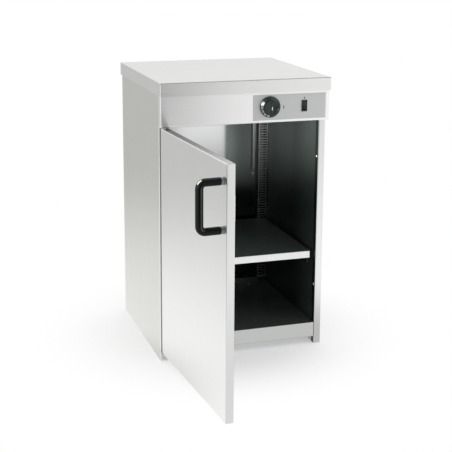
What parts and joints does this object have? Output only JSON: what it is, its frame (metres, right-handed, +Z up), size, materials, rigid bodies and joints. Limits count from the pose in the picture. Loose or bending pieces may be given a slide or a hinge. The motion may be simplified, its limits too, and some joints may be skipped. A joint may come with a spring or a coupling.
{
  "type": "plate warmer cabinet",
  "caption": "Free-standing electric plate warmer cabinet with a hinged front door, a lift-out shelf on brackets, a thermostat dial, a rocker switch and a heating element at the back.",
  "frame": {"origin": "on the floor, under the centre of the worktop cover's footprint", "axes": "+X to the right as one faces the door, +Y to the back of the cabinet, +Z up"},
  "size_m": [0.427, 0.7812, 0.645],
  "materials": {
    "stainless_brushed": "fine brushed stainless sheet, pale warm grey",
    "stainless_polished": "bright-annealed stainless sheet, nearly a mirror",
    "galvanised": "galvanised sheet, dull",
    "control_face": "satin anodised plate",
    "zinc_fittings": "bright zinc plate",
    "handle_ferrule": "polished",
    "handle_black": "glossy black",
    "knob_black": "semi-gloss black with white figures",
    "switch_black": "glossy black",
    "black_moulding": "black moulding",
    "white_nylon": "natural nylon",
    "magnet_case": "dark cased magnet",
    "mineral_wool": "yellow-brown mineral wool",
    "element_sheath": "annealed steel sheath",
    "terminal_brass": "bare brass",
    "copper": "bare copper",
    "silicone_lead": "off-white silicone sleeve"
  },
  "bodies": {
    "cabinet": {"top_cover": "stainless_brushed", "fascia": "stainless_brushed", "left_side_panel": "stainless_brushed", "right_side_panel": "stainless_brushed", "left_liner": "stainless_polished", "right_liner": "stainless_polished", "back_liner": "stainless_polished", "ceiling_liner": "stainless_polished", "bottom_deck": "stainless_polished", "left_upright": "stainless_polished", "right_upright": "stainless_polished", "left_bracket": "stainless_polished", "right_bracket": "stainless_polished", "heater_guard": "stainless_polished", "sensor_guard": "stainless_polished", "back_panel": "galvanised", "base_plate": "galvanised", "control_plate": "control_face", "top_hinge_pin": "zinc_fittings", "bottom_hinge_bracket": "zinc_fittings", "hinge_screws": "zinc_fittings", "back_panel_screws": "zinc_fittings", "guard_screws": "zinc_fittings", "sensor_screw": "zinc_fittings", "magnet_rivets": "zinc_fittings", "heater_clips": "zinc_fittings", "switch_housing": "switch_black", "cable_gland": "black_moulding", "gland_lock_nut": "black_moulding", "thermostat_body": "black_moulding", "terminal_block": "white_nylon", "door_magnets": "magnet_case", "insulation_left": "mineral_wool", "insulation_right": "mineral_wool", "insulation_back": "mineral_wool", "insulation_top": "mineral_wool", "insulation_bottom": "mineral_wool", "heating_element": "element_sheath", "heater_terminals": "terminal_brass", "sensor_bulb": "copper", "capillary_tube": "copper", "heater_wiring": "silicone_lead", "control_wiring": "silicone_lead"},
    "door": {"door_outer_skin": "stainless_brushed", "door_inner_skin": "stainless_polished", "door_insulation": "mineral_wool", "door_bushes": "white_nylon", "strike_plates": "zinc_fittings", "handle_grip": "handle_black", "handle_ferrules": "handle_ferrule", "handle_screws": "zinc_fittings"},
    "knob": {"thermostat_shaft": "zinc_fittings", "knob_dial": "knob_black", "knob_cap": "knob_black"},
    "rocker": {"switch_rocker": "switch_black"},
    "lift_out_shelf": {"shelf": "stainless_polished"}
  },
  "joints": [
    {"name": "door_hinge", "type": "hinge", "parent": "cabinet", "child": "door", "pos_m": [-0.19, -0.1883, 0.283], "axis": [0, 0, -1], "range_deg": [-86.2, 88.8]},
    {"name": "thermostat_knob", "type": "hinge", "parent": "cabinet", "child": "knob", "pos_m": [0.0541, -0.2, 0.5824], "axis": [0, 1, 0], "range_deg": [0, 270]},
    {"name": "switch_tilt", "type": "hinge", "parent": "cabinet", "child": "rocker", "pos_m": [0.1365, -0.1919, 0.5818], "axis": [1, 0, 0], "range_deg": [0, 16]},
    {"name": "shelf_lift", "type": "slide", "parent": "cabinet", "child": "lift_out_shelf", "axis": [0, 0, 1], "range_m": [0, 0.25]}
  ]
}
